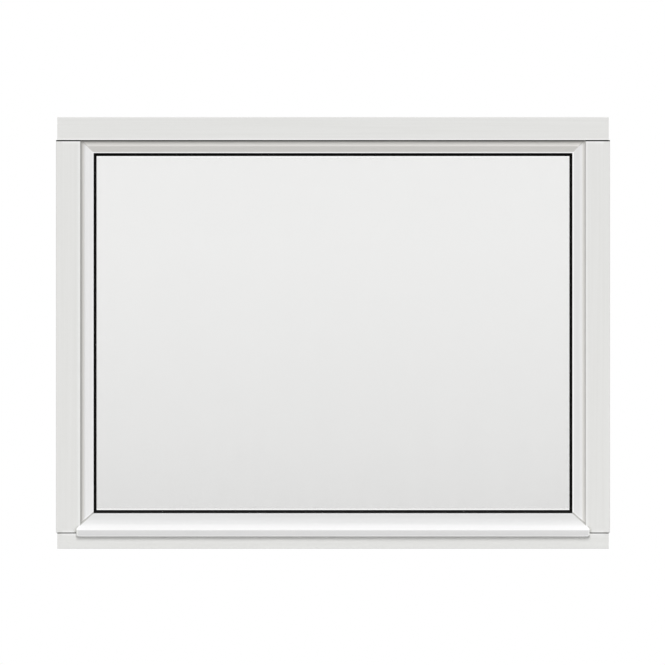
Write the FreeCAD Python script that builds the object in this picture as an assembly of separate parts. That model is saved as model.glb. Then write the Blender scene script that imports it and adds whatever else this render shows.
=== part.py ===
"""Fixed picture window: a painted timber frame with a sealed triple glazing unit, glazed from outside.

The head and the sill run through, and the two jambs stand between them. Moulded beads, mitred at the top
corners and scribed over a bottom bead with a drip nose, hold the glass against black gaskets.

Frame of the model: +X to the right seen from outside, +Y into the room, +Z up. The origin is the middle of
the sill's underside. A section is drawn as (inset, depth): inset is measured from the outer edge of the
frame towards the glass, and depth from the outside face towards the room.
"""

import FreeCAD
import Part

import math
import os

Vector = FreeCAD.Vector

# Overall size
FRAME_WIDTH = 1386.0
FRAME_HEIGHT = 1080.0
FRAME_DEPTH = 115.0
END_SETBACK = 3.0  # the head and the sill stop this far short of the jambs' outer faces

# What shows of each part from outside, from a jamb's outer edge inwards
FRAME_FACE = 61.5
BEAD_WIDTH = 32.5
GASKET_SHOWN = 7.6
BEAD_EDGE = FRAME_FACE + BEAD_WIDTH
DAYLIGHT_INSET = BEAD_EDGE + GASKET_SHOWN
HEAD_TRIM = 3.5  # the head and the sill are this much narrower than the jambs, at their outer edges
SILL_TRIM = 5.0
SILL_FACE = 37.3
SILL_SLOPE_RISE = 7.0

# Glazing unit: three sheets and two gas spaces
PANE_NAMES = ("outer", "middle", "inner")
PANE_THICKNESS = 4.0
GAS_SPACE = 16.0
PANE_STEP = PANE_THICKNESS + GAS_SPACE
UNIT_THICKNESS = len(PANE_NAMES) * PANE_STEP - GAS_SPACE
GLASS_COVER = 19.0  # how far the glass reaches in behind the daylight edge
GLASS_EDGE = DAYLIGHT_INSET - GLASS_COVER
EDGE_CLEARANCE = 6.0
SPACER_HEIGHT = 7.0
SPACER_FROM_EDGE = 6.0
BLOCK_LENGTH = 100.0
BLOCK_FROM_MIDDLE = 305.0

# Depths from the outside face
BEAD_BACK = 26.0
GASKET_THICKNESS = 4.0
GLASS_FRONT = BEAD_BACK + GASKET_THICKNESS
GLASS_BACK = GLASS_FRONT + UNIT_THICKNESS
STOP_FRONT = GLASS_BACK + GASKET_THICKNESS

# Frame section
REBATE_INSET = GLASS_EDGE - EDGE_CLEARANCE
STOP_INSET = DAYLIGHT_INSET - 4.0
BEAD_ARRIS = 0.8
FRAME_ARRIS = 1.5
SILL_FOOT_ARRIS = 0.6
ROOM_BEVEL_INSET = 10.0
ROOM_BEVEL_DEPTH = 18.0
LINING_GROOVE_WIDTH = 10.0
LINING_GROOVE_DEPTH = 10.0
LINING_GROOVE_FROM_ROOM = 7.0

# Open joint lines where a jamb meets the head and the sill
JOINT_GAP = 2.8
JOINT_GAP_DEPTH = 10.0
ROOM_JOINT_GAP = 1.2
ROOM_JOINT_GAP_DEPTH = 2.0

# Fixing holes through the jambs, for frame screws
FIXING_RADIUS = 7.0
FIXING_DEPTH = 87.0
FIXING_HEIGHTS = (180.0, 900.0)

# Moulded bead: a hollow that starts steep at the frame, a splay, and a flat at the glass
BEAD_SETBACK = 3.5
HOLLOW_STEEPEST = math.radians(62.0)
HOLLOW_RADIUS = 15.8
SPLAY_ANGLE = math.radians(16.0)
SPLAY_START = (
    FRAME_FACE + HOLLOW_RADIUS * math.sin(HOLLOW_STEEPEST),
    BEAD_SETBACK + HOLLOW_RADIUS * (1 - math.cos(HOLLOW_STEEPEST)),
)
SIGHT_FLAT = 3.0
SPLAY_END = SPLAY_START[1] + (BEAD_EDGE - SIGHT_FLAT - SPLAY_START[0]) * math.tan(SPLAY_ANGLE)
SCRIBE_GAP = 1.2  # open joint line where a side bead is scribed over the bottom bead
SCRIBE_GAP_BACK = 22.0

# Bottom bead: the same splay, then a hollow and a slope that run out to the drip nose
TOP_EDGE_FALL = 1.5
SPLAY_HEIGHT = 16.2
NOSE_HOLLOW_RADIUS = 20.0
NOSE_SLOPE = math.radians(45.0)
NOSE_LENGTH = 1284.0
NOSE_PROJECTION = 11.0
NOSE_BOTTOM = 29.7
NOSE_UNDERCUT = math.radians(8.0)
NOSE_TOP_RADIUS = 1.5
NOSE_BOTTOM_RADIUS = 2.5
NOSE_RETURN_TOP = 49.5
NOSE_RETURN_RISE = 12.0
NOSE_FOOT_CUT = 6.0
NOSE_FOOT_RISE = 4.0
DRIP_GROOVE_RADIUS = 1.8
DRIP_GROOVE_FROM_SILL = 4.2
WEEP_DEPTH = 2.0  # channels behind and under the bottom bead drain the space round the glass
WEEP_WIDTH = 12.0
WEEP_PLACES = (-420.0, 0.0, 420.0)

# Gaskets
GASKET_FROM_EDGE = 2.0
LIP_RISE = 3.0
LIP_TIP = 1.0
INNER_GASKET_SHOWN = 2.0

REACH = 2000.0  # longer than any piece, for bars before they are cut to length
MARGIN = 1.0  # how far a cut runs past the face that it opens
SIDES = ("top", "bottom", "left", "right")


def place(side, inset, depth, along):
    """The point at this inset and depth on one side of the frame, this far along it."""
    y = depth - FRAME_DEPTH / 2
    if side == "left":
        return Vector(inset - FRAME_WIDTH / 2, y, along)
    if side == "right":
        return Vector(FRAME_WIDTH / 2 - inset, y, along)
    if side == "top":
        return Vector(along, y, FRAME_HEIGHT + HEAD_TRIM - inset)
    return Vector(along, y, inset - SILL_TRIM)


def bar(side, outline, start=-REACH, end=REACH):
    """A straight bar with this section. An outline entry is a corner, or (a point on an arc, its end)."""
    edges = []
    first = here = place(side, *outline[0], start)
    for step in outline[1:]:
        if isinstance(step[0], tuple):
            there = place(side, *step[1], start)
            edges.append(Part.Arc(here, place(side, *step[0], start), there).toShape())
        else:
            there = place(side, *step, start)
            edges.append(Part.makeLine(here, there))
        here = there
    edges.append(Part.makeLine(here, first))
    run = place(side, 0, 0, end) - place(side, 0, 0, start)
    return Part.Face(Part.Wire(edges)).extrude(run)


def rounded(before, corner, after, radius):
    """Outline entries for a corner eased to this radius, between the points before and after it."""
    arms = [
        tuple((point[i] - corner[i]) / math.dist(point, corner) for i in (0, 1)) for point in (before, after)
    ]
    half_angle = math.acos(arms[0][0] * arms[1][0] + arms[0][1] * arms[1][1]) / 2
    tangent = radius / math.tan(half_angle)
    start, end = (tuple(corner[i] + tangent * arm[i] for i in (0, 1)) for arm in arms)
    pull = (radius / math.sin(half_angle) - radius) / (2 * math.cos(half_angle))
    middle = tuple(corner[i] + pull * (arms[0][i] + arms[1][i]) for i in (0, 1))
    return [start, (middle, end)]


def slab(x_range, depth_range, z_range):
    """A box between these limits."""
    sizes = [high - low for low, high in (x_range, depth_range, z_range)]
    corner = Vector(x_range[0], depth_range[0] - FRAME_DEPTH / 2, z_range[0])
    return Part.makeBox(*sizes, corner)


def plate(elevation):
    """Everything in front of and behind an outline drawn on the elevation."""
    points = [Vector(x, -REACH / 2, z) for x, z in elevation]
    return Part.Face(Part.makePolygon(points + points[:1])).extrude(Vector(0, REACH, 0))


def mitre_zone(side, mitred_at_bottom=True):
    """The space that one side's pieces may fill: it ends on the 45 degree planes through the corners."""
    rows = []
    for inset in (0.0, DAYLIGHT_INSET + MARGIN):
        if side in ("left", "right"):
            bottom_end = place("bottom", inset, 0, 0).z if mitred_at_bottom else 0.0
            ends = (bottom_end, place("top", inset, 0, 0).z)
        else:
            ends = (place("left", inset, 0, 0).x, place("right", inset, 0, 0).x)
        rows.append([place(side, inset, 0, end) for end in ends])
    (a, b), (d, c) = rows
    return plate([(point.x, point.z) for point in (a, b, c, d)])


def mitred_bar(side, outline):
    """A bar of one side, mitred at both ends."""
    return bar(side, outline).common(mitre_zone(side))


def room_side_outline(outer_edge):
    """The part of a frame section that head, jambs and sill share: rebate, stop, bevel and lining groove."""
    groove_back = FRAME_DEPTH - LINING_GROOVE_FROM_ROOM
    groove_front = groove_back - LINING_GROOVE_WIDTH
    groove_floor = outer_edge + LINING_GROOVE_DEPTH
    bevel_end = (STOP_INSET - ROOM_BEVEL_INSET, FRAME_DEPTH)
    return [
        (REBATE_INSET, BEAD_BACK),
        (REBATE_INSET, STOP_FRONT),
        (STOP_INSET, STOP_FRONT),
        (STOP_INSET, FRAME_DEPTH - ROOM_BEVEL_DEPTH),
        bevel_end,
        *rounded(bevel_end, (outer_edge, FRAME_DEPTH), (outer_edge, groove_back), FRAME_ARRIS),
        (outer_edge, groove_back),
        (groove_floor, groove_back),
        (groove_floor, groove_front),
        (outer_edge, groove_front),
    ]


def frame_outline(outer_edge):
    """Section of the head and the jambs: a step for the bead, then the rebate and the stop."""
    outer_corner = (outer_edge, 0)
    inner_corner = (FRAME_FACE, 0)
    step_foot = (FRAME_FACE, BEAD_BACK)
    return [
        *rounded((outer_edge, FRAME_DEPTH), outer_corner, inner_corner, FRAME_ARRIS),
        *rounded(outer_corner, inner_corner, step_foot, FRAME_ARRIS),
        step_foot,
        *room_side_outline(outer_edge),
    ]


def sill_outline():
    """Section of the sill: its front is low, and its top slopes up under the bottom bead."""
    foot = (SILL_TRIM, 0)
    front_top = (SILL_TRIM + SILL_FACE, 0)
    return [
        *rounded((SILL_TRIM, FRAME_DEPTH), foot, front_top, SILL_FOOT_ARRIS),
        front_top,
        (front_top[0] + SILL_SLOPE_RISE, BEAD_BACK),
        *room_side_outline(SILL_TRIM),
    ]


def make_head():
    half = FRAME_WIDTH / 2 - END_SETBACK
    return bar("top", frame_outline(HEAD_TRIM), -half, half)


def make_sill():
    half = FRAME_WIDTH / 2 - END_SETBACK
    return bar("bottom", sill_outline(), -half, half)


def make_jamb(side):
    """A jamb, coped to the head and the sill, with open joint lines on its two faces and fixing holes."""
    across = (-FRAME_WIDTH, FRAME_WIDTH)
    front = (-MARGIN, JOINT_GAP_DEPTH)
    room = (FRAME_DEPTH - ROOM_JOINT_GAP_DEPTH, FRAME_DEPTH + MARGIN)
    room_face = STOP_INSET - ROOM_BEVEL_INSET
    jamb = bar(side, frame_outline(0), 0, FRAME_HEIGHT).cut(
        [
            bar("top", frame_outline(HEAD_TRIM)),
            bar("bottom", sill_outline()),
            slab(across, front, (place("top", FRAME_FACE, 0, 0).z - JOINT_GAP, FRAME_HEIGHT)),
            slab(across, front, (0, SILL_FACE + JOINT_GAP)),
            slab(across, room, (place("top", room_face, 0, 0).z - ROOM_JOINT_GAP, FRAME_HEIGHT)),
            slab(across, room, (0, place("bottom", room_face, 0, 0).z + ROOM_JOINT_GAP)),
        ]
    )
    # The largest solid is the jamb, without the slivers in the grooves of head and sill
    jamb = max(jamb.Solids, key=lambda solid: solid.Volume)
    for height in FIXING_HEIGHTS:
        start = place(side, -MARGIN, FIXING_DEPTH, height)
        run = place(side, STOP_INSET + MARGIN, FIXING_DEPTH, height) - start
        jamb = jamb.cut(Part.makeCylinder(FIXING_RADIUS, run.Length, start, run))
    return jamb


def bead_outline():
    """Section of the top and side beads from the frame's edge: hollow, splay, flat, square back."""
    flat_start = (BEAD_EDGE - SIGHT_FLAT, SPLAY_END)
    back_corner = (BEAD_EDGE, BEAD_BACK)

    def hollow(angle):
        return (
            SPLAY_START[0] - HOLLOW_RADIUS * math.sin(angle),
            SPLAY_START[1] - HOLLOW_RADIUS * (1 - math.cos(angle)),
        )

    return [
        (FRAME_FACE, BEAD_BACK),
        hollow(HOLLOW_STEEPEST),
        (hollow(HOLLOW_STEEPEST / 2), SPLAY_START),
        flat_start,
        *rounded(flat_start, (BEAD_EDGE, SPLAY_END), back_corner, BEAD_ARRIS),
        back_corner,
    ]


def bottom_bead_outline():
    """Section of the bottom bead: splay, hollow, slope, drip nose, and the seat on the sill."""
    back_corner = (BEAD_EDGE, BEAD_BACK)
    top_edge = (BEAD_EDGE - TOP_EDGE_FALL, SPLAY_END)
    splay_end = (BEAD_EDGE - SPLAY_HEIGHT, SPLAY_END - SPLAY_HEIGHT * math.tan(SPLAY_ANGLE))

    def hollow(angle):
        drop = NOSE_HOLLOW_RADIUS * (math.sin(angle) - math.sin(SPLAY_ANGLE))
        forward = NOSE_HOLLOW_RADIUS * (math.cos(SPLAY_ANGLE) - math.cos(angle))
        return (splay_end[0] - drop, splay_end[1] - forward)

    hollow_end = hollow(NOSE_SLOPE)
    nose_top = (hollow_end[0] - (hollow_end[1] + NOSE_PROJECTION) / math.tan(NOSE_SLOPE), -NOSE_PROJECTION)
    underside = NOSE_BOTTOM + SILL_TRIM
    nose_bottom = (underside, (nose_top[0] - underside) * math.tan(NOSE_UNDERCUT) - NOSE_PROJECTION)
    groove = -DRIP_GROOVE_FROM_SILL
    sill_edge = (SILL_FACE + SILL_TRIM, 0)
    return [
        back_corner,
        *rounded(back_corner, top_edge, splay_end, BEAD_ARRIS),
        splay_end,
        (hollow((SPLAY_ANGLE + NOSE_SLOPE) / 2), hollow_end),
        *rounded(hollow_end, nose_top, nose_bottom, NOSE_TOP_RADIUS),
        *rounded(nose_top, nose_bottom, (underside, 0), NOSE_BOTTOM_RADIUS),
        (underside, groove - DRIP_GROOVE_RADIUS),
        ((underside + DRIP_GROOVE_RADIUS, groove), (underside, groove + DRIP_GROOVE_RADIUS)),
        (underside, 0),
        sill_edge,
        (sill_edge[0] + SILL_SLOPE_RISE, BEAD_BACK),
    ]


def weep_outline():
    """Section of a drain channel: down the bead's back, along its seat and out under the nose."""
    seat_front = SILL_FACE + SILL_TRIM
    seat_back = seat_front + SILL_SLOPE_RISE
    mouth = NOSE_BOTTOM + SILL_TRIM - MARGIN
    return [
        (mouth, 0),
        (mouth, -WEEP_DEPTH),
        (seat_front + WEEP_DEPTH, -WEEP_DEPTH),
        (seat_back + WEEP_DEPTH, BEAD_BACK - WEEP_DEPTH),
        (GLASS_EDGE, BEAD_BACK - WEEP_DEPTH),
        (GLASS_EDGE, BEAD_BACK),
        (seat_back, BEAD_BACK),
        (seat_front, 0),
    ]


def make_bottom_bead():
    """The bottom bead fits between the jambs, and its nose laps them with ends that are cut back."""
    half = NOSE_LENGTH / 2
    between = FRAME_WIDTH / 2 - FRAME_FACE
    lap = half - between
    body = bar("bottom", bottom_bead_outline(), -between, between)
    nose = bar("bottom", bottom_bead_outline(), -half, half)
    before_the_jambs = slab((-half, half), (-2 * NOSE_PROJECTION, 0), (0, NOSE_RETURN_TOP + NOSE_RETURN_RISE))
    right_end = [
        (half - lap, NOSE_RETURN_TOP + NOSE_RETURN_RISE),
        (half, NOSE_RETURN_TOP),
        (half, NOSE_BOTTOM + NOSE_FOOT_RISE),
        (half - NOSE_FOOT_CUT, NOSE_BOTTOM),
    ]
    left_end = [(-x, z) for x, z in reversed(right_end)]
    returned = nose.common(before_the_jambs).common(plate(right_end + left_end))
    weeps = [bar("bottom", weep_outline(), x - WEEP_WIDTH / 2, x + WEEP_WIDTH / 2) for x in WEEP_PLACES]
    return body.fuse(returned).removeSplitter().cut(weeps)


def make_side_bead(side, head, bottom_bead, sill):
    """A side bead, mitred at the top and scribed over the bottom bead, which it meets behind an open line."""
    zone = mitre_zone(side, mitred_at_bottom=False)
    front = slab((-FRAME_WIDTH, FRAME_WIDTH), (-2 * NOSE_PROJECTION, SCRIBE_GAP_BACK), (0, FRAME_HEIGHT))
    open_line = bottom_bead.translated(Vector(0, 0, SCRIBE_GAP)).common(front)
    return bar(side, bead_outline()).common(zone).cut([head, bottom_bead, sill, open_line])


def outer_gasket_outline():
    """Section of the gasket between bead and glass: a strip with a sloping lip that shows past the bead."""
    lip_foot = (BEAD_EDGE, BEAD_BACK - LIP_RISE)
    tip = (DAYLIGHT_INSET, GLASS_FRONT - LIP_TIP)
    return [
        (GLASS_EDGE + GASKET_FROM_EDGE, GLASS_FRONT),
        (GLASS_EDGE + GASKET_FROM_EDGE, BEAD_BACK),
        (BEAD_EDGE, BEAD_BACK),
        lip_foot,
        *rounded(lip_foot, tip, (DAYLIGHT_INSET, GLASS_FRONT), LIP_TIP),
        (DAYLIGHT_INSET, GLASS_FRONT),
    ]


def inner_gasket_outline():
    """Section of the gasket between glass and stop, with a small lip on the room side."""
    tip = STOP_INSET + INNER_GASKET_SHOWN
    return [
        (GLASS_EDGE + GASKET_FROM_EDGE, GLASS_BACK),
        (GLASS_EDGE + GASKET_FROM_EDGE, STOP_FRONT),
        (STOP_INSET, STOP_FRONT),
        (tip, STOP_FRONT - LIP_TIP),
        (tip, GLASS_BACK),
    ]


def spacer_outline(front):
    """Section of a spacer bar that fills the gas space behind this depth."""
    outer = GLASS_EDGE + SPACER_FROM_EDGE
    inner = outer + SPACER_HEIGHT
    back = front + GAS_SPACE
    return [(outer, front), (inner, front), (inner, back), (outer, back)]


def make_pane(front):
    half = FRAME_WIDTH / 2 - GLASS_EDGE
    heights = (place("bottom", GLASS_EDGE, 0, 0).z, place("top", GLASS_EDGE, 0, 0).z)
    return slab((-half, half), (front, front + PANE_THICKNESS), heights)


def make_setting_block(middle):
    span = (middle - BLOCK_LENGTH / 2, middle + BLOCK_LENGTH / 2)
    heights = (place("bottom", REBATE_INSET, 0, 0).z, place("bottom", GLASS_EDGE, 0, 0).z)
    return slab(span, (GLASS_FRONT, GLASS_BACK), heights)


def build():
    """Every piece of the window, by name."""
    head, sill, bottom_bead = make_head(), make_sill(), make_bottom_bead()
    pieces = {
        "frame_head": head,
        "frame_sill": sill,
        "bead_top": mitred_bar("top", bead_outline()),
        "bead_bottom": bottom_bead,
        "setting_block_left": make_setting_block(-BLOCK_FROM_MIDDLE),
        "setting_block_right": make_setting_block(BLOCK_FROM_MIDDLE),
    }
    for side in ("left", "right"):
        pieces["frame_jamb_" + side] = make_jamb(side)
        pieces["bead_" + side] = make_side_bead(side, head, bottom_bead, sill)
    for number, name in enumerate(PANE_NAMES):
        pieces["pane_" + name] = make_pane(GLASS_FRONT + number * PANE_STEP)
    for side in SIDES:
        pieces["gasket_outer_" + side] = mitred_bar(side, outer_gasket_outline())
        pieces["gasket_inner_" + side] = mitred_bar(side, inner_gasket_outline())
        for number, name in enumerate(("outer", "inner")):
            front = GLASS_FRONT + PANE_THICKNESS + number * PANE_STEP
            pieces["spacer_%s_%s" % (name, side)] = mitred_bar(side, spacer_outline(front))
    return pieces


def main():
    os.makedirs("parts", exist_ok=True)
    for name, shape in sorted(build().items()):
        print(name, len(shape.Solids), "solid", shape.isValid(), round(shape.Volume / 1000, 1), "cm3")
        shape.exportStep("parts/%s.step" % name)


main()
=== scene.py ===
# %% [markdown]
# # A fixed picture window
# This lesson dresses a fixed timber window: a painted frame that never opens, beads that hold the glass,
# black gaskets, and a sealed unit of three sheets. The solids come from the construction model and keep
# their place and size. Here they get their finishes, light and a camera.

# %% Load the window
import math

import bpy
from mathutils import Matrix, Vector


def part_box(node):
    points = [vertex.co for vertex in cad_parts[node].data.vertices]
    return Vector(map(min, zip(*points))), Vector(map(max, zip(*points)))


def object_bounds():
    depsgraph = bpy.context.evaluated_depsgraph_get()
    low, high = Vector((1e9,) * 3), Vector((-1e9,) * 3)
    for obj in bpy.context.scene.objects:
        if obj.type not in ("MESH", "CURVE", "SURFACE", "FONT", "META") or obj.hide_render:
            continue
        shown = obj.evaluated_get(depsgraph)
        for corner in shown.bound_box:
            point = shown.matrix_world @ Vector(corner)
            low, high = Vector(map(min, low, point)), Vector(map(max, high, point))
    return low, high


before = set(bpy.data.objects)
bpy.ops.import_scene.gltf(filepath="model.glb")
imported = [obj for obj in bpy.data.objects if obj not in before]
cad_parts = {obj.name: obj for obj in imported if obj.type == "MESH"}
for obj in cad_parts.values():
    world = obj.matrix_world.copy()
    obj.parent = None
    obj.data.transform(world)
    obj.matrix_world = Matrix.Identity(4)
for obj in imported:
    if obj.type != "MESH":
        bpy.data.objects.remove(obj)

cad_low, cad_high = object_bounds()
print("window of", len(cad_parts), "pieces,", [round(v, 3) for v in cad_high - cad_low], "m")

# %% [markdown]
# ## Where things are
# Every later step needs a few places on the window. They are measured from the pieces themselves, so a
# change in the construction moves the finishes with it: the outer size, the outside face of the frame, and
# the foot and the top of the glass that shows between the gaskets.

# %% Measure the window
half_width = cad_high.x
height = cad_high.z
outside_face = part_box("frame_jamb_left")[0].y
glass_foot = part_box("gasket_outer_bottom")[1].z
glass_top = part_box("gasket_outer_top")[0].z
print("glass shows from", round(glass_foot, 4), "to", round(glass_top, 4), "m above the floor")

# %% [markdown]
# ## The camera
# The picture is a straight elevation: no side of the frame shows, and opposite edges stay parallel. A
# camera with a long lens comes close to that, and an orthographic one does it exactly, so that is used. Its
# width is the width of the picture in metres, and it stands where the window's middle and foot fall on
# their pixels.

# %% Camera
PICTURE_PIXELS = 665
METRES_PER_PIXEL = 0.002502
MIDDLE_PIXEL_X = 333.0
FOOT_PIXEL_Y = 548.6
CAMERA_DISTANCE = 4.0
LOOKING_LEVEL = math.radians(90)

camera_data = bpy.data.cameras.new("elevation_camera")
camera_data.type = "ORTHO"
camera_data.ortho_scale = PICTURE_PIXELS * METRES_PER_PIXEL
camera = bpy.data.objects.new("elevation_camera", camera_data)
camera.location = (
    (PICTURE_PIXELS / 2 - MIDDLE_PIXEL_X) * METRES_PER_PIXEL,
    outside_face - CAMERA_DISTANCE,
    (FOOT_PIXEL_Y - PICTURE_PIXELS / 2) * METRES_PER_PIXEL,
)
camera.rotation_euler = (LOOKING_LEVEL, 0, 0)
bpy.context.scene.collection.objects.link(camera)
bpy.context.scene.camera = camera
bpy.context.scene.view_settings.view_transform = "Standard"
print("camera sees", round(camera_data.ortho_scale, 3), "m across")

# %% [markdown]
# ## Small helpers for shaders
# A finish is a tree of nodes. It could be wired by hand in the shader editor. In a script, five short
# helpers keep the trees readable: two make a node and join sockets, one starts a material with its
# Principled shader, and two start a node group and place it in a tree.


# %% Node helpers
def add(tree, kind, settings=None, **inputs):
    """A new node with these settings, and these values on its input sockets (spaces written as _)."""
    made = tree.nodes.new(kind)
    for name, value in (settings or {}).items():
        setattr(made, name, value)
    for name, value in inputs.items():
        made.inputs[name.replace("_", " ")].default_value = value
    return made


def join(tree, *pairs):
    """Links each (output socket, input socket) pair."""
    for source, target in pairs:
        tree.links.new(source, target)


def start_material(name, **inputs):
    """A material with a Principled shader that holds these values, and its object coordinates."""
    material = bpy.data.materials.new(name)
    material.use_nodes = True
    tree = material.node_tree
    shader = tree.nodes["Principled BSDF"]
    for socket, value in inputs.items():
        shader.inputs[socket.replace("_", " ")].default_value = value
    place = add(tree, "ShaderNodeTexCoord").outputs["Object"]
    return material, tree, shader, place


def start_group(name, inputs, outputs):
    """A shader node group with these sockets. Returns its tree and its two end nodes."""
    tree = bpy.data.node_groups.new(name, "ShaderNodeTree")
    for way, sockets in (("INPUT", inputs), ("OUTPUT", outputs)):
        for socket, kind in sockets:
            tree.interface.new_socket(socket, in_out=way, socket_type="NodeSocket" + kind)
    return tree, tree.nodes.new("NodeGroupInput"), tree.nodes.new("NodeGroupOutput")


def use_group(tree, group, **inputs):
    """Places a group in a tree, with these values on its inputs."""
    return add(tree, "ShaderNodeGroup", {"node_tree": group}, **inputs)


print("five helpers ready")

# %% [markdown]
# ## Floor
# The window stands on a plain pale floor, which catches its shadow. Seen straight on, the floor is edge-on
# and can't be seen. A pale floor also throws light up, and so much of it would wash out the shading of the
# beads. So the floor is pale where it is seen, also in the glass, and darker for the light that it throws:
# the Light Path node tells the two apart. It is a large plane that isn't part of the window.

# %% Floor
FLOOR_SIZE = 60.0
FLOOR_SEEN = (0.66, 0.66, 0.65, 1)
FLOOR_MOTTLE = (0.635, 0.635, 0.625, 1)
FLOOR_BOUNCE = (0.37, 0.37, 0.365, 1)


def seen_by_eye(tree):
    """A mask that is 1 for rays from the camera, mirrored or through glass. Returns its socket."""
    rays = add(tree, "ShaderNodeLightPath")
    seen_or_mirrored = add(tree, "ShaderNodeMath", {"operation": "MAXIMUM"})
    seen_at_all = add(tree, "ShaderNodeMath", {"operation": "MAXIMUM"})
    join(
        tree,
        (rays.outputs["Is Camera Ray"], seen_or_mirrored.inputs[0]),
        (rays.outputs["Is Glossy Ray"], seen_or_mirrored.inputs[1]),
        (seen_or_mirrored.outputs[0], seen_at_all.inputs[0]),
        (rays.outputs["Is Transmission Ray"], seen_at_all.inputs[1]),
    )
    return seen_at_all.outputs[0]


def mix_colours(tree, share, below, above):
    """Mixes two colours, given as values or sockets, by a mask socket. Returns the colour's socket."""
    made = add(tree, "ShaderNodeMix", {"data_type": "RGBA"})
    join(tree, (share, made.inputs["Factor"]))
    for name, source in (("A", below), ("B", above)):
        if isinstance(source, bpy.types.NodeSocket):
            join(tree, (source, made.inputs[name]))
        else:
            made.inputs[name].default_value = source
    return made.outputs["Result"]


bpy.ops.object.select_all(action="DESELECT")
bpy.ops.mesh.primitive_plane_add(size=FLOOR_SIZE)
floor = bpy.context.object
floor.name = "studio_floor"
floor_finish, tree, shader, place = start_material("studio_floor_finish", Roughness=0.8)
mottle = add(tree, "ShaderNodeTexNoise", Scale=6.0, Detail=4.0)
seen_tone = mix_colours(tree, mottle.outputs["Fac"], FLOOR_SEEN, FLOOR_MOTTLE)
tone = mix_colours(tree, seen_by_eye(tree), FLOOR_BOUNCE, seen_tone)
join(tree, (place, mottle.inputs["Vector"]), (tone, shader.inputs["Base Color"]))
floor.data.materials.append(floor_finish)
print("floor of", FLOOR_SIZE, "m")

# %% [markdown]
# ## World
# The picture's background is white. A world of full strength would give that, but it would also light the
# window from all sides and flatten its mouldings. So the world is white where it is seen, also in the
# glass, and dimmer where it only adds light. The mask is the one that the floor uses.

# %% World
WHITE = (1, 1, 1, 1)
SKY_LEVEL = 0.3

world = bpy.data.worlds.new("studio_world")
bpy.context.scene.world = world
world.use_nodes = True
tree = world.node_tree
backdrop = tree.nodes["Background"]
backdrop.inputs["Color"].default_value = WHITE
level = add(tree, "ShaderNodeMapRange", To_Min=SKY_LEVEL, To_Max=1.0)
join(
    tree,
    (seen_by_eye(tree), level.inputs["Value"]),
    (level.outputs["Result"], backdrop.inputs["Strength"]),
)
print("world white where seen,", SKY_LEVEL, "as light")

# %% [markdown]
# ## Lamps
# The picture has soft light from high up in front: the hollow of the top bead is dark, the slope of the
# bottom bead is bright, and the nose throws a short shadow on the sill that is the same at both ends. A
# softbox near the window would fade along it. A sun with a wide angle is as soft, and it lights the whole
# width evenly. A weaker and wider sun behind keeps the room side readable.


# %% Lamps
def wide_sun(name, direction, strength, softness):
    """A sun lamp of this angular width, whose light travels in this direction."""
    lamp = bpy.data.lights.new(name, "SUN")
    lamp.energy = strength
    lamp.angle = softness
    holder = bpy.data.objects.new(name, lamp)
    holder.rotation_euler = Vector(direction).to_track_quat("-Z", "Y").to_euler()
    bpy.context.scene.collection.objects.link(holder)


KEY_DIRECTION = (0.0, 1.0, -0.9)
KEY_STRENGTH = 2.6
KEY_SOFTNESS = math.radians(36)
ROOM_DIRECTION = (-0.35, -1.0, -0.45)
ROOM_STRENGTH = 1.6
ROOM_SOFTNESS = math.radians(50)

wide_sun("key_light", KEY_DIRECTION, KEY_STRENGTH, KEY_SOFTNESS)
wide_sun("room_light", ROOM_DIRECTION, ROOM_STRENGTH, ROOM_SOFTNESS)
print("key light of", KEY_STRENGTH, "and room light of", ROOM_STRENGTH)

# %% [markdown]
# ## Painted timber
# The frame and the beads are planed timber under an opaque off-white paint. Up close such paint isn't flat:
# the brush leaves long faint streaks along each member, the grain shows a little through the film, and the
# sheen varies with it. An image could hold that, but it would stretch on a long member. One node group
# makes it from stretched noise instead, and each material turns it to run along its own member, because
# the head's grain lies flat and a jamb's stands upright.

# %% Paint film group
GRAIN_RELIEF = 0.5

paint_film, ends_in, ends_out = start_group(
    "paint_film",
    [("Along grain", "Vector"), ("Paint", "Color"), ("Thin paint", "Color")],
    [("Color", "Color"), ("Roughness", "Float"), ("Height", "Float")],
)
streaks = add(paint_film, "ShaderNodeTexNoise", Scale=1.0, Detail=5.0, Roughness=0.6)
grain = add(paint_film, "ShaderNodeTexNoise", Scale=3.2, Detail=3.0, Roughness=0.7, Distortion=0.3)
streak_share = add(paint_film, "ShaderNodeMapRange", From_Min=0.3, From_Max=0.75)
film_and_glass_shade = add(paint_film, "ShaderNodeMix", {"data_type": "RGBA"})
sheen = add(paint_film, "ShaderNodeMapRange", To_Min=0.58, To_Max=0.72)
relief = add(paint_film, "ShaderNodeMath", {"operation": "MULTIPLY_ADD"})
relief.inputs[1].default_value = GRAIN_RELIEF
join(
    paint_film,
    (ends_in.outputs["Along grain"], streaks.inputs["Vector"]),
    (ends_in.outputs["Along grain"], grain.inputs["Vector"]),
    (streaks.outputs["Fac"], streak_share.inputs["Value"]),
    (streak_share.outputs["Result"], film_and_glass_shade.inputs["Factor"]),
    (ends_in.outputs["Paint"], film_and_glass_shade.inputs["A"]),
    (ends_in.outputs["Thin paint"], film_and_glass_shade.inputs["B"]),
    (film_and_glass_shade.outputs["Result"], ends_out.inputs["Color"]),
    (grain.outputs["Fac"], sheen.inputs["Value"]),
    (sheen.outputs["Result"], ends_out.inputs["Roughness"]),
    (grain.outputs["Fac"], relief.inputs[0]),
    (streaks.outputs["Fac"], relief.inputs[2]),
    (relief.outputs[0], ends_out.inputs["Height"]),
)
print("group", paint_film.name, "with", len(paint_film.nodes), "nodes")
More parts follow.
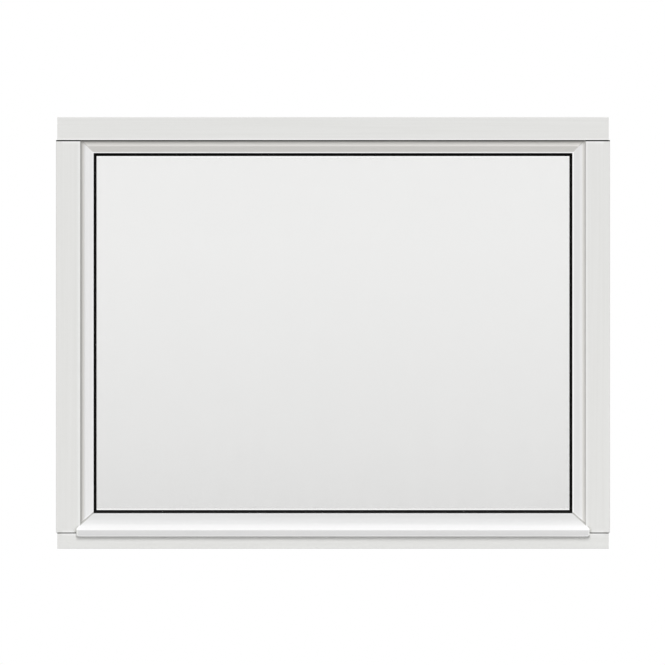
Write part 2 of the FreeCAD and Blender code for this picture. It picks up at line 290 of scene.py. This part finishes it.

# %% [markdown]
# ## Light arrises
# Along every edge of the frame there is a thin lighter line. It is a painted highlight: paler paint along
# each arris. It could be painted by hand along each edge. The Bevel node finds the edges by itself: close
# to one, its softened normal turns away from the true one, and that turn is the mask. A noise breaks it up.
# The painted highlight stops short of the outer edges of the window.

# %% Arris highlight group
FLAT_LIKENESS = 0.998
ARRIS_LIKENESS = 0.93
# How far in from the window's outer edges the painted highlight starts.
OUTER_MARGIN = 0.012
MARGIN_FADE = 0.006

arris_highlight, ends_in, ends_out = start_group(
    "arris_highlight", [("Position", "Vector"), ("Reach", "Float")], [("Mask", "Float")]
)
softened = add(arris_highlight, "ShaderNodeBevel", {"samples": 6})
surface_normal = add(arris_highlight, "ShaderNodeNewGeometry")
likeness = add(arris_highlight, "ShaderNodeVectorMath", {"operation": "DOT_PRODUCT"})
turned = add(arris_highlight, "ShaderNodeMapRange", From_Min=FLAT_LIKENESS, From_Max=ARRIS_LIKENESS)
highlight_breakup = add(arris_highlight, "ShaderNodeTexNoise", Scale=35.0, Detail=3.0)
breakup_share = add(arris_highlight, "ShaderNodeMapRange", From_Min=0.3, From_Max=0.6, To_Min=0.65)
highlit = add(arris_highlight, "ShaderNodeMath", {"operation": "MULTIPLY"})
from_middle = add(arris_highlight, "ShaderNodeVectorMath", {"operation": "SUBTRACT"})
from_middle.inputs[1].default_value = (0, 0, height / 2)
both_ways = add(arris_highlight, "ShaderNodeVectorMath", {"operation": "ABSOLUTE"})
apart = add(arris_highlight, "ShaderNodeSeparateXYZ")
margin_x = half_width - OUTER_MARGIN
margin_z = height / 2 - OUTER_MARGIN
within_across = add(arris_highlight, "ShaderNodeMapRange", From_Min=margin_x, From_Max=margin_x - MARGIN_FADE)
within_upward = add(arris_highlight, "ShaderNodeMapRange", From_Min=margin_z, From_Max=margin_z - MARGIN_FADE)
within_margin = add(arris_highlight, "ShaderNodeMath", {"operation": "MINIMUM"})
highlit_inside = add(arris_highlight, "ShaderNodeMath", {"operation": "MULTIPLY"})
join(
    arris_highlight,
    (ends_in.outputs["Reach"], softened.inputs["Radius"]),
    (softened.outputs["Normal"], likeness.inputs[0]),
    (surface_normal.outputs["Normal"], likeness.inputs[1]),
    (likeness.outputs["Value"], turned.inputs["Value"]),
    (ends_in.outputs["Position"], highlight_breakup.inputs["Vector"]),
    (highlight_breakup.outputs["Fac"], breakup_share.inputs["Value"]),
    (turned.outputs["Result"], highlit.inputs[0]),
    (breakup_share.outputs["Result"], highlit.inputs[1]),
    (ends_in.outputs["Position"], from_middle.inputs[0]),
    (from_middle.outputs["Vector"], both_ways.inputs[0]),
    (both_ways.outputs["Vector"], apart.inputs["Vector"]),
    (apart.outputs["X"], within_across.inputs["Value"]),
    (apart.outputs["Z"], within_upward.inputs["Value"]),
    (within_across.outputs["Result"], within_margin.inputs[0]),
    (within_upward.outputs["Result"], within_margin.inputs[1]),
    (highlit.outputs[0], highlit_inside.inputs[0]),
    (within_margin.outputs[0], highlit_inside.inputs[1]),
    (highlit_inside.outputs[0], ends_out.inputs["Mask"]),
)
print("group", arris_highlight.name, "with", len(arris_highlight.nodes), "nodes")

# %% [markdown]
# ## Painted shade in the corners
# Corners such as the open joints and the line where a bead meets the frame get painted shade: a grey
# mixed into the paint. Ambient occlusion finds them: it is strong where a surface is hemmed in. A noise
# breaks the mask up, and the group takes the reach, because a deep joint and a shallow corner need
# different ones.

# %% Corner shade group
OPEN_PLACE = 0.92
CLOSED_PLACE = 0.5

corner_shade, ends_in, ends_out = start_group(
    "corner_shade", [("Position", "Vector"), ("Reach", "Float")], [("Mask", "Float")]
)
openness = add(corner_shade, "ShaderNodeAmbientOcclusion", {"samples": 8})
hemmed_in = add(corner_shade, "ShaderNodeMapRange", From_Min=OPEN_PLACE, From_Max=CLOSED_PLACE)
clouds = add(corner_shade, "ShaderNodeTexNoise", Scale=60.0, Detail=4.0)
cloud_share = add(corner_shade, "ShaderNodeMapRange", From_Min=0.3, From_Max=0.65, To_Min=0.75)
shade_amount = add(corner_shade, "ShaderNodeMath", {"operation": "MULTIPLY"})
join(
    corner_shade,
    (ends_in.outputs["Reach"], openness.inputs["Distance"]),
    (openness.outputs["AO"], hemmed_in.inputs["Value"]),
    (ends_in.outputs["Position"], clouds.inputs["Vector"]),
    (clouds.outputs["Fac"], cloud_share.inputs["Value"]),
    (hemmed_in.outputs["Result"], shade_amount.inputs[0]),
    (cloud_share.outputs["Result"], shade_amount.inputs[1]),
    (shade_amount.outputs[0], ends_out.inputs["Mask"]),
)
print("group", corner_shade.name, "with", len(corner_shade.nodes), "nodes")

# %% [markdown]
# ## Paint on the members
# The three effects stack: the paint film first, then the painted highlight on the arrises, then painted
# shade in the corners over both. One function builds the stack for a grain direction, and each member
# calls it with how far the painted highlight and the painted shade reach on it.

# %% Painted timber
PAINT = (0.772, 0.772, 0.760, 1)
THIN_PAINT = (0.738, 0.737, 0.722, 1)
# Paler paint for the painted highlight on the arrises.
HIGHLIGHT_PAINT = (0.875, 0.875, 0.868, 1)
# Grey of the painted shade in the corners.
CORNER_SHADE_GREY = (0.42, 0.42, 0.39, 1)
PAINT_SHINE = 0.35
STREAKS_PER_METRE = 170.0
STREAKS_ALONG = 2.5
PAINT_RELIEF = 0.12
PAINT_DEPTH = 0.001


def painted_timber(name, grain_axis, arris_reach, shade_reach):
    """Paint whose streaks run along this axis (0 for X, 2 for Z). Returns the material."""
    material, tree, shader, place = start_material(name, Specular_IOR_Level=PAINT_SHINE)
    scale = [STREAKS_PER_METRE] * 3
    scale[grain_axis] = STREAKS_ALONG
    turn = add(tree, "ShaderNodeMapping", Scale=scale)
    film_and_glass_shade = use_group(tree, paint_film, Paint=PAINT, Thin_paint=THIN_PAINT)
    highlight = use_group(tree, arris_highlight, Reach=arris_reach)
    shade_mask = use_group(tree, corner_shade, Reach=shade_reach)
    bump = add(tree, "ShaderNodeBump", Strength=PAINT_RELIEF, Distance=PAINT_DEPTH)
    # Painted highlight: paler paint where the arris mask is.
    paler = mix_colours(tree, highlight.outputs["Mask"], film_and_glass_shade.outputs["Color"], HIGHLIGHT_PAINT)
    # Painted shade: grey mixed in where ambient occlusion finds a corner.
    with_shade = mix_colours(tree, shade_mask.outputs["Mask"], paler, CORNER_SHADE_GREY)
    join(
        tree,
        (place, turn.inputs["Vector"]),
        (turn.outputs["Vector"], film_and_glass_shade.inputs["Along grain"]),
        (place, highlight.inputs["Position"]),
        (place, shade_mask.inputs["Position"]),
        (with_shade, shader.inputs["Base Color"]),
        (film_and_glass_shade.outputs["Roughness"], shader.inputs["Roughness"]),
        (film_and_glass_shade.outputs["Height"], bump.inputs["Height"]),
        (bump.outputs["Normal"], shader.inputs["Normal"]),
    )
    return material


FLAT_GRAIN = 0
UPRIGHT_GRAIN = 2
HEAD_ARRIS = 0.006
FRAME_ARRIS = 0.014
# How far the painted shade in the corners reaches on each member.
FRAME_SHADE_REACH = 0.012
SILL_SHADE_REACH = 0.0008

head_timber = painted_timber("painted_head", FLAT_GRAIN, HEAD_ARRIS, FRAME_SHADE_REACH)
jamb_timber = painted_timber("painted_jambs", UPRIGHT_GRAIN, FRAME_ARRIS, FRAME_SHADE_REACH)
sill_timber = painted_timber("painted_sill", FLAT_GRAIN, FRAME_ARRIS, SILL_SHADE_REACH)
print("three paint finishes for the frame")

# %% [markdown]
# ## Painted light and shade across the beads
# Painted light and shade differ across each moulding, and all of it follows the distance from the frame. It
# could be painted by hand on an image for each bead. A colour ramp across the bead's own width is shorter:
# it multiplies the same paint by a tone for each distance, in millimetres from the frame's edge. Tones
# nearer the frame than a given width, where most painted shade is, get a warm grey tint, the rest a little
# cooler one. The result is clamped, because no paint gives back more light than it gets.

# %% Tone ramps
MILLIMETRES_PER_METRE = 1000
BEAD_ARRIS = 0.004
# Warm tint for tones near the frame, where the painted shade is, and a cooler tint for the rest.
WARM_SHADE_TINT = (1.0, 0.983, 0.965)
COOL_LIGHT_TINT = (1.0, 1.0, 1.02)


def tone_ramp(tree, tones, length):
    """A colour ramp over this length, through these (distance, grey, tint) tones."""
    ramp = add(tree, "ShaderNodeValToRGB")
    stops = ramp.color_ramp.elements
    while len(stops) < len(tones):
        stops.new(1.0)
    for stop, (distance, grey, tint) in zip(stops, tones):
        stop.position = distance / length
        stop.color = [grey * part for part in tint] + [1]
    return ramp


def paint_so_far(material):
    """A paint finish's tree, the socket of its colour, the socket that takes it, and its coordinates."""
    tree = material.node_tree
    base = tree.nodes["Principled BSDF"].inputs["Base Color"]
    place = tree.nodes["Texture Coordinate"].outputs["Object"]
    return tree, base.links[0].from_socket, base, place


def toned_bead(name, grain_axis, shade_reach, edge, inner, tones, warm_width):
    """Painted timber with tones of painted light and shade from the frame's edge inwards, across the grain.
    """
    material = painted_timber(name, grain_axis, BEAD_ARRIS, shade_reach)
    tree, paint, base, place = paint_so_far(material)
    both_ways = add(tree, "ShaderNodeVectorMath", {"operation": "ABSOLUTE"})
    apart = add(tree, "ShaderNodeSeparateXYZ")
    across = add(tree, "ShaderNodeMapRange", From_Min=edge, From_Max=inner)
    tinted_tones = []
    for distance, grey in tones:
        tinted_tones.append((distance, grey, WARM_SHADE_TINT if distance < warm_width else COOL_LIGHT_TINT))
    ramp = tone_ramp(tree, tinted_tones, abs(inner - edge) * MILLIMETRES_PER_METRE)
    multiplied = {"data_type": "RGBA", "blend_type": "MULTIPLY", "clamp_result": True}
    toned = add(tree, "ShaderNodeMix", multiplied, Factor=1.0)
    join(
        tree,
        (place, both_ways.inputs[0]),
        (both_ways.outputs["Vector"], apart.inputs["Vector"]),
        (apart.outputs["X" if grain_axis == UPRIGHT_GRAIN else "Z"], across.inputs["Value"]),
        (across.outputs["Result"], ramp.inputs["Fac"]),
        (paint, toned.inputs["A"]),
        (ramp.outputs["Color"], toned.inputs["B"]),
        (toned.outputs["Result"], base),
    )
    return material


print("tone ramps ready")

# %% [markdown]
# ## The four beads
# Painted shade darkens the steep start of each hollow, most of all under the head, where it is a painted
# shadow, and a painted highlight makes the arris where the hollow ends pale. The left bead gets more
# painted shade than the right one, so each has tones of its own. The bottom bead's slope and the nose's
# foot get painted light, and its splay along the glass a painted grey shade. Each pair below is a distance
# and a tone.

# %% Beads with painted light and shade
BEAD_SHADE_REACH = 0.004
SIDE_WARM_WIDTH = 9.0
TOP_WARM_WIDTH = 29.0
NO_WARM_WIDTH = 0.0
# Tones below 1 are painted shade, tones above 1 painted highlights and painted light.
TOP_TONES = (
    (0.0, 0.06), (1.8, 0.08), (2.6, 0.57), (5.0, 1.0), (7.0, 1.24),
    (14.6, 1.15), (16.4, 0.94), (28.8, 0.91), (29.8, 1.12),
)
LEFT_TONES = (
    (0.0, 0.32), (1.0, 0.53), (2.5, 0.68), (5.0, 0.85),
    (7.5, 0.93), (10.0, 0.95), (12.5, 1.05), (14.0, 1.09), (32.0, 1.10),
)
RIGHT_TONES = (
    (0.0, 0.66), (1.0, 0.89), (4.0, 0.97), (6.5, 1.07),
    (9.5, 1.09), (12.5, 1.03), (15.0, 1.01), (29.0, 1.01), (29.8, 1.28),
)
BOTTOM_TONES = (
    (0.0, 1.29), (2.0, 1.20), (3.6, 0.99), (13.0, 1.02), (15.4, 1.05), (18.4, 1.11), (27.3, 1.07),
    (30.8, 1.0), (35.6, 0.935), (43.9, 0.88), (48.0, 0.865), (54.0, 0.86), (57.0, 0.90),
)

inner_edge, outer_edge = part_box("bead_right")[0].x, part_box("bead_right")[1].x
top_low, top_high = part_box("bead_top")[0].z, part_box("bead_top")[1].z
bottom_low, bottom_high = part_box("bead_bottom")[0].z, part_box("bead_bottom")[1].z
top_bead_timber = toned_bead(
    "painted_top_bead", FLAT_GRAIN, BEAD_SHADE_REACH, top_high, top_low, TOP_TONES, TOP_WARM_WIDTH
)
left_bead_timber = toned_bead(
    "painted_left_bead", UPRIGHT_GRAIN, BEAD_SHADE_REACH, outer_edge, inner_edge, LEFT_TONES, SIDE_WARM_WIDTH
)
right_bead_timber = toned_bead(
    "painted_right_bead", UPRIGHT_GRAIN, BEAD_SHADE_REACH, outer_edge, inner_edge, RIGHT_TONES, SIDE_WARM_WIDTH
)
bottom_bead_timber = toned_bead(
    "painted_bottom_bead", FLAT_GRAIN, SILL_SHADE_REACH, bottom_low, bottom_high, BOTTOM_TONES, NO_WARM_WIDTH
)
print("four weathered beads, the bottom one from", round(bottom_low, 4), "to", round(bottom_high, 4))

# %% [markdown]
# ## Strips along joints and edges
# Some marks follow one line of the window, such as the dirt in a joint. Along a straight line a weighted
# sum of X, Y and Z is constant, so a range of that sum is the mask of a strip beside it. One group makes
# such a range, with X made positive so that the left and right halves share it.

# %% Range mask group
range_mask, ends_in, ends_out = start_group(
    "range_mask",
    [("Position", "Vector"), ("Weights", "Vector"), ("Outside", "Float"), ("Inside", "Float")],
    [("Mask", "Float")],
)
apart = add(range_mask, "ShaderNodeSeparateXYZ")
positive = add(range_mask, "ShaderNodeMath", {"operation": "ABSOLUTE"})
together = add(range_mask, "ShaderNodeCombineXYZ")
weighted = add(range_mask, "ShaderNodeVectorMath", {"operation": "DOT_PRODUCT"})
ramped = add(range_mask, "ShaderNodeMapRange")
join(
    range_mask,
    (ends_in.outputs["Position"], apart.inputs["Vector"]),
    (apart.outputs["X"], positive.inputs[0]),
    (positive.outputs[0], together.inputs["X"]),
    (apart.outputs["Y"], together.inputs["Y"]),
    (apart.outputs["Z"], together.inputs["Z"]),
    (together.outputs["Vector"], weighted.inputs[0]),
    (ends_in.outputs["Weights"], weighted.inputs[1]),
    (weighted.outputs["Value"], ramped.inputs["Value"]),
    (ends_in.outputs["Outside"], ramped.inputs["From Min"]),
    (ends_in.outputs["Inside"], ramped.inputs["From Max"]),
    (ramped.outputs["Result"], ends_out.inputs["Mask"]),
)
print("group", range_mask.name, "with", len(range_mask.nodes), "nodes")

# %% [markdown]
# ## Painting a strip
# A strip goes on top of whatever paint a finish has so far, as a second brush would. A strip that must end
# somewhere takes more than one range, and the masks are multiplied, so that it is painted only where all of
# them reach.


# %% Painting a strip
def paint_strip(material, colour, share, *ranges):
    """Mixes a share of a colour into the paint, inside every (weights, outside, inside) range."""
    tree, paint, base, place = paint_so_far(material)
    strip = None
    for weights, outside, inside in ranges:
        reached = use_group(tree, range_mask, Weights=weights, Outside=outside, Inside=inside)
        narrower = add(tree, "ShaderNodeMath", {"operation": "MULTIPLY"})
        narrower.inputs[0].default_value = share
        join(tree, (place, reached.inputs["Position"]), (reached.outputs["Mask"], narrower.inputs[1]))
        if strip:
            join(tree, (strip, narrower.inputs[0]))
        strip = narrower.outputs[0]
    join(tree, (mix_colours(tree, strip, paint, colour), base))


ACROSS = (1, 0, 0)
DEEP = (0, 1, 0)
UPWARD = (0, 0, 1)
print("strips can be painted across, in depth and upward")

# %% [markdown]
# ## Dirt in the beads' joints
# The side beads are cut to the bottom bead's shape and stand on it, and dirt draws that joint as a thin
# grey line from the corner of the glass down to the jamb. The mitres at the top show one too, but only in
# their hollow, where rain doesn't reach. The joints are in the solids already, so each only needs a strip
# of dirt along it.

# %% Dirty bead joints
JOINT_DIRT = (0.40, 0.40, 0.375, 1)
THICK_DIRT = 0.85
THIN_DIRT = 0.6
FAINT_DIRT = 0.45
JOINT_SOFTNESS = 0.001
SCRIBE_WEIGHTS = (0.9, 0, 1)
SIGHT_FLAT = 0.003
SCRIBE_BELOW = 0.0034
SCRIBE_ABOVE = 0.0008
MITRE_WEIGHTS = (1, 0, -1)
MITRE_WIDTH = 0.0026
HOLLOW_END = 0.014

scribe_line = (inner_edge + SIGHT_FLAT) * SCRIBE_WEIGHTS[0] + bottom_high
foul_below = scribe_line - SCRIBE_BELOW
foul_above = scribe_line + SCRIBE_ABOVE
foul_mitre = outer_edge - top_high - MITRE_WIDTH
under_joint = (SCRIBE_WEIGHTS, foul_below - JOINT_SOFTNESS, foul_below)
over_joint = (SCRIBE_WEIGHTS, foul_above + JOINT_SOFTNESS, foul_above)
at_mitre = (MITRE_WEIGHTS, foul_mitre - JOINT_SOFTNESS, foul_mitre)
between_jambs = (ACROSS, outer_edge + JOINT_SOFTNESS, outer_edge)
in_hollow = (UPWARD, top_high - HOLLOW_END - JOINT_SOFTNESS, top_high - HOLLOW_END)
paint_strip(bottom_bead_timber, JOINT_DIRT, THICK_DIRT, under_joint, between_jambs)
for side_bead_timber in (left_bead_timber, right_bead_timber):
    paint_strip(side_bead_timber, JOINT_DIRT, THIN_DIRT, over_joint)
paint_strip(top_bead_timber, JOINT_DIRT, FAINT_DIRT, at_mitre, in_hollow)
print("dirt along the scribed joints and the mitres")

# %% [markdown]
# ## Dirt and painted shadow on the jambs
# A thin line of dirt runs down each jamb beside its bead. The open joints at the jambs' ends are deep, and
# their floor is painted near black as a painted shadow. Every one of these strips also has a range in
# depth, so that the sides and the back of the jambs stay clean.

# %% Jamb dirt and painted shadow
# Near black for the painted shadow on the floor of the open joints.
JOINT_SHADOW = (0.05, 0.05, 0.046, 1)
FULL_COAT = 1.0
JAMB_LINE = 0.001
FRONT_DEPTH = 0.004
OPEN_JOINT = 0.0028
SILL_FACE = 0.0373
JOINT_FLOOR = 0.011
JOINT_EDGE = 0.0004

head_joint = top_high - OPEN_JOINT
sill_joint = SILL_FACE + OPEN_JOINT
beside_bead = (ACROSS, outer_edge + JAMB_LINE + JOINT_SOFTNESS, outer_edge + JAMB_LINE)
at_front = (DEEP, outside_face + FRONT_DEPTH, outside_face + FRONT_DEPTH - JOINT_SOFTNESS)
at_head = (UPWARD, head_joint - JOINT_EDGE, head_joint)
at_sill = (UPWARD, sill_joint + JOINT_EDGE, sill_joint)
in_joint = (DEEP, outside_face + JOINT_FLOOR + JOINT_SOFTNESS, outside_face + JOINT_FLOOR)
paint_strip(jamb_timber, JOINT_DIRT, THIN_DIRT, beside_bead, at_front)
# Painted shadow on the floor of each open joint.
for at_jamb_end in (at_head, at_sill):
    paint_strip(jamb_timber, JOINT_SHADOW, FULL_COAT, at_jamb_end, in_joint)
print("dirt beside the beads and in the jambs' open joints")

# %% [markdown]
# ## Painted light on edges
# Three strips are paler than the rest. The ends of the bottom bead's nose and the head's lower arris, a
# sharp drip edge, get a painted highlight. Under the nose the sill gets painted light that makes the nose's
# shadow lighter.

# %% Pale strips
# Paler paints for the painted highlights and the painted light.
NOSE_END_HIGHLIGHT = (0.88, 0.88, 0.87, 1)
PAINTED_LIGHT = (0.95, 0.95, 0.94, 1)
NOSE_END_HIGHLIGHT_LENGTH = 0.0034
DRIP_EDGE = 0.0029
UNDER_NOSE_LIGHT = 0.0035
UNDER_NOSE_FADE = 0.003
STRIP_SOFTNESS = 0.0005

nose_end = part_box("bead_bottom")[1].x
highlight_start = nose_end - NOSE_END_HIGHLIGHT_LENGTH
at_end = (ACROSS, highlight_start - STRIP_SOFTNESS, highlight_start)
at_drip_edge = (UPWARD, top_high + DRIP_EDGE + STRIP_SOFTNESS, top_high + DRIP_EDGE)
below_nose = (UPWARD, bottom_low - UNDER_NOSE_LIGHT - UNDER_NOSE_FADE, bottom_low - UNDER_NOSE_LIGHT)
along_nose = (ACROSS, nose_end, nose_end - UNDER_NOSE_FADE)
# Painted highlight on the nose's ends and the head's foot, painted light under the nose.
paint_strip(bottom_bead_timber, NOSE_END_HIGHLIGHT, FULL_COAT, at_end)
paint_strip(head_timber, PAINTED_LIGHT, FULL_COAT, at_drip_edge, at_front)
paint_strip(sill_timber, PAINTED_LIGHT, FULL_COAT, below_nose, along_nose, at_front)
print("pale strips at the nose's ends, the head's foot and under the nose")

# %% [markdown]
# ## Glass
# The unit has three sheets of clear glass. Together they hold back about a quarter of the light and look
# pale grey. Each sheet is real glass here, with a faint tint, and the outer one also gets a painted shade
# that deepens towards the sill. It would stop the lamps, so for shadow rays the sheet turns into a plain
# tinted filter. It does so for light from dull surfaces too, because that light would else be counted
# twice.

# %% Clear glass
CLEAR_GLASS = (0.972, 0.974, 0.972, 1)


def window_glass(name):
    """Glass that lets lamps through as a filter. Returns its material, tree, shader, filter and place."""
    material, tree, shader, place = start_material(
        name, Roughness=0.0, IOR=1.5, Transmission_Weight=1.0, Base_Color=CLEAR_GLASS
    )
    lamp_filter = add(tree, "ShaderNodeBsdfTransparent", Color=CLEAR_GLASS)
    rays = add(tree, "ShaderNodeLightPath")
    for_lamps = add(tree, "ShaderNodeMixShader")
    for_dull_light = add(tree, "ShaderNodeMixShader")
    join(
        tree,
        (rays.outputs["Is Shadow Ray"], for_lamps.inputs["Fac"]),
        (shader.outputs["BSDF"], for_lamps.inputs[1]),
        (lamp_filter.outputs["BSDF"], for_lamps.inputs[2]),
        (rays.outputs["Is Diffuse Ray"], for_dull_light.inputs["Fac"]),
        (for_lamps.outputs["Shader"], for_dull_light.inputs[1]),
        (lamp_filter.outputs["BSDF"], for_dull_light.inputs[2]),
        (for_dull_light.outputs["Shader"], tree.nodes["Material Output"].inputs["Surface"]),
    )
    return material, tree, shader, lamp_filter, place


clear_glass = window_glass("clear_glass")[0]
print("clear glass for the middle and inner sheets")

# %% [markdown]
# ## Painted shade on the outer sheet
# The outer sheet gets a painted shade: a grey tint, even on the upper half and deeper towards the sill, in
# faint upright streaks. Next to the gaskets a thin line is left untinted, as a painted highlight. A colour
# ramp over the height gives the tint, a stretched noise shifts it into streaks, and two short ranges near
# the edges keep the lines untinted.

# %% Outer glass
# Tones of the painted shade on the outer sheet, from the foot to the top.
GLASS_SHADE_TONES = ((0.0, 0.784), (0.2, 0.830), (0.5, 0.872), (0.75, 0.898), (1.0, 0.904))
GLASS_SHADE_TINT = (1.0, 0.996, 0.992)
GLASS_SHADE_HEIGHT = 1.0
CLEAR_LINE = 0.0035
CLEAR_EDGE = 0.0005
STREAK_SCALE = (45.0, 1.0, 1.2)
STREAK_SHIFT = 0.04

outer_glass, tree, shader, lamp_filter, place = window_glass("shaded_outer_glass")
apart = add(tree, "ShaderNodeSeparateXYZ")
rise = add(tree, "ShaderNodeMapRange", From_Min=glass_foot, From_Max=glass_top)
runs = add(tree, "ShaderNodeMapping", Scale=STREAK_SCALE)
streaks = add(tree, "ShaderNodeTexNoise", Scale=1.0, Detail=4.0)
streak_offset = add(tree, "ShaderNodeMapRange", To_Min=-STREAK_SHIFT, To_Max=STREAK_SHIFT)
shifted = add(tree, "ShaderNodeMath", {"operation": "ADD"})
film_and_glass_shade = tone_ramp(tree, [(*tone, GLASS_SHADE_TINT) for tone in GLASS_SHADE_TONES], GLASS_SHADE_HEIGHT)
# Untinted lines next to the gaskets: painted highlights.
clear_above = glass_top - CLEAR_LINE
clear_below = glass_foot + CLEAR_LINE
near_top = add(tree, "ShaderNodeMapRange", From_Min=clear_above, From_Max=clear_above + CLEAR_EDGE)
near_foot = add(tree, "ShaderNodeMapRange", From_Min=clear_below, From_Max=clear_below - CLEAR_EDGE)
edge_highlight = add(tree, "ShaderNodeMath", {"operation": "MAXIMUM"})
tint = mix_colours(tree, edge_highlight.outputs[0], film_and_glass_shade.outputs["Color"], WHITE)
join(
    tree,
    (place, apart.inputs["Vector"]),
    (apart.outputs["Z"], rise.inputs["Value"]),
    (place, runs.inputs["Vector"]),
    (runs.outputs["Vector"], streaks.inputs["Vector"]),
    (streaks.outputs["Fac"], streak_offset.inputs["Value"]),
    (rise.outputs["Result"], shifted.inputs[0]),
    (streak_offset.outputs["Result"], shifted.inputs[1]),
    (shifted.outputs[0], film_and_glass_shade.inputs["Fac"]),
    (apart.outputs["Z"], near_top.inputs["Value"]),
    (apart.outputs["Z"], near_foot.inputs["Value"]),
    (near_top.outputs["Result"], edge_highlight.inputs[0]),
    (near_foot.outputs["Result"], edge_highlight.inputs[1]),
    (tint, shader.inputs["Base Color"]),
    (tint, lamp_filter.inputs["Color"]),
)
print("film from", GLASS_SHADE_TONES[0][1], "at the foot to", GLASS_SHADE_TONES[-1][1], "at the top")

# %% [markdown]
# ## Fine grain
# Rubber and moulded plastic look even from afar, and up close they have a fine grain in colour, sheen and
# relief. A scanned image could give it. One small noise is enough for all of it here, so a group makes it
# once, between two tones that each material sets.

# %% Fine grain group
fine_grain, ends_in, ends_out = start_group(
    "fine_grain",
    [("Position", "Vector"), ("Grains per metre", "Float"), ("Dark", "Color"), ("Light", "Color")],
    [("Color", "Color"), ("Roughness", "Float"), ("Height", "Float")],
)
speckle = add(fine_grain, "ShaderNodeTexNoise", Detail=4.0, Roughness=0.65)
speckle_tone = add(fine_grain, "ShaderNodeMix", {"data_type": "RGBA"})
speckle_sheen = add(fine_grain, "ShaderNodeMapRange", To_Min=0.5, To_Max=0.75)
join(
    fine_grain,
    (ends_in.outputs["Position"], speckle.inputs["Vector"]),
    (ends_in.outputs["Grains per metre"], speckle.inputs["Scale"]),
    (speckle.outputs["Fac"], speckle_tone.inputs["Factor"]),
    (ends_in.outputs["Dark"], speckle_tone.inputs["A"]),
    (ends_in.outputs["Light"], speckle_tone.inputs["B"]),
    (speckle_tone.outputs["Result"], ends_out.inputs["Color"]),
    (speckle.outputs["Fac"], speckle_sheen.inputs["Value"]),
    (speckle_sheen.outputs["Result"], ends_out.inputs["Roughness"]),
    (speckle.outputs["Fac"], ends_out.inputs["Height"]),
)
print("group", fine_grain.name, "with", len(fine_grain.nodes), "nodes")

# %% [markdown]
# ## Rubber, spacer bars and setting blocks
# The gaskets are black rubber, dull and a little dusty. The spacer bars between the sheets are dark grey
# plastic, and the setting blocks under the glass are moulded plastic, blue as such blocks often are. All
# three use the fine grain, each at its own scale.

# %% Moulded materials
RUBBER_TONES = ((0.002, 0.002, 0.002, 1), (0.005, 0.005, 0.005, 1))
SPACER_TONES = ((0.05, 0.05, 0.052, 1), (0.075, 0.075, 0.077, 1))
BLOCK_TONES = ((0.02, 0.05, 0.12, 1), (0.03, 0.065, 0.14, 1))
GRAIN_DEPTH = 0.0005


def moulded(name, tones, grains_per_metre, relief, shine):
    """A fine-grained rubber or plastic between a dark and a light tone."""
    material, tree, shader, place = start_material(name, Specular_IOR_Level=shine)
    dark, light = tones
    grains = use_group(tree, fine_grain, Grains_per_metre=grains_per_metre, Dark=dark, Light=light)
    bump = add(tree, "ShaderNodeBump", Strength=relief, Distance=GRAIN_DEPTH)
    join(
        tree,
        (place, grains.inputs["Position"]),
        (grains.outputs["Color"], shader.inputs["Base Color"]),
        (grains.outputs["Roughness"], shader.inputs["Roughness"]),
        (grains.outputs["Height"], bump.inputs["Height"]),
        (bump.outputs["Normal"], shader.inputs["Normal"]),
    )
    return material


gasket_rubber = moulded("gasket_rubber", RUBBER_TONES, grains_per_metre=700, relief=0.15, shine=0.05)
spacer_plastic = moulded("spacer_plastic", SPACER_TONES, grains_per_metre=900, relief=0.1, shine=0.3)
block_plastic = moulded("block_plastic", BLOCK_TONES, grains_per_metre=500, relief=0.1, shine=0.4)
print("three moulded finishes")

# %% [markdown]
# ## Finishes onto the pieces
# A construction piece keeps its mesh and only swaps the material in its slot. The name of a piece says what
# it is made of, so a short table is enough. The first start that fits a name counts, so the outer sheet
# stands before the other two.

# %% Assign finishes
FINISH_BY_NAME = {
    "frame_head": head_timber,
    "frame_sill": sill_timber,
    "frame_jamb": jamb_timber,
    "bead_top": top_bead_timber,
    "bead_bottom": bottom_bead_timber,
    "bead_left": left_bead_timber,
    "bead_right": right_bead_timber,
    "pane_outer": outer_glass,
    "pane_": clear_glass,
    "gasket_": gasket_rubber,
    "spacer_": spacer_plastic,
    "setting_block": block_plastic,
}
for name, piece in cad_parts.items():
    finish = next(material for start, material in FINISH_BY_NAME.items() if name.startswith(start))
    for slot in piece.material_slots:
        slot.material = finish
print("finishes on", len(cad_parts), "pieces")
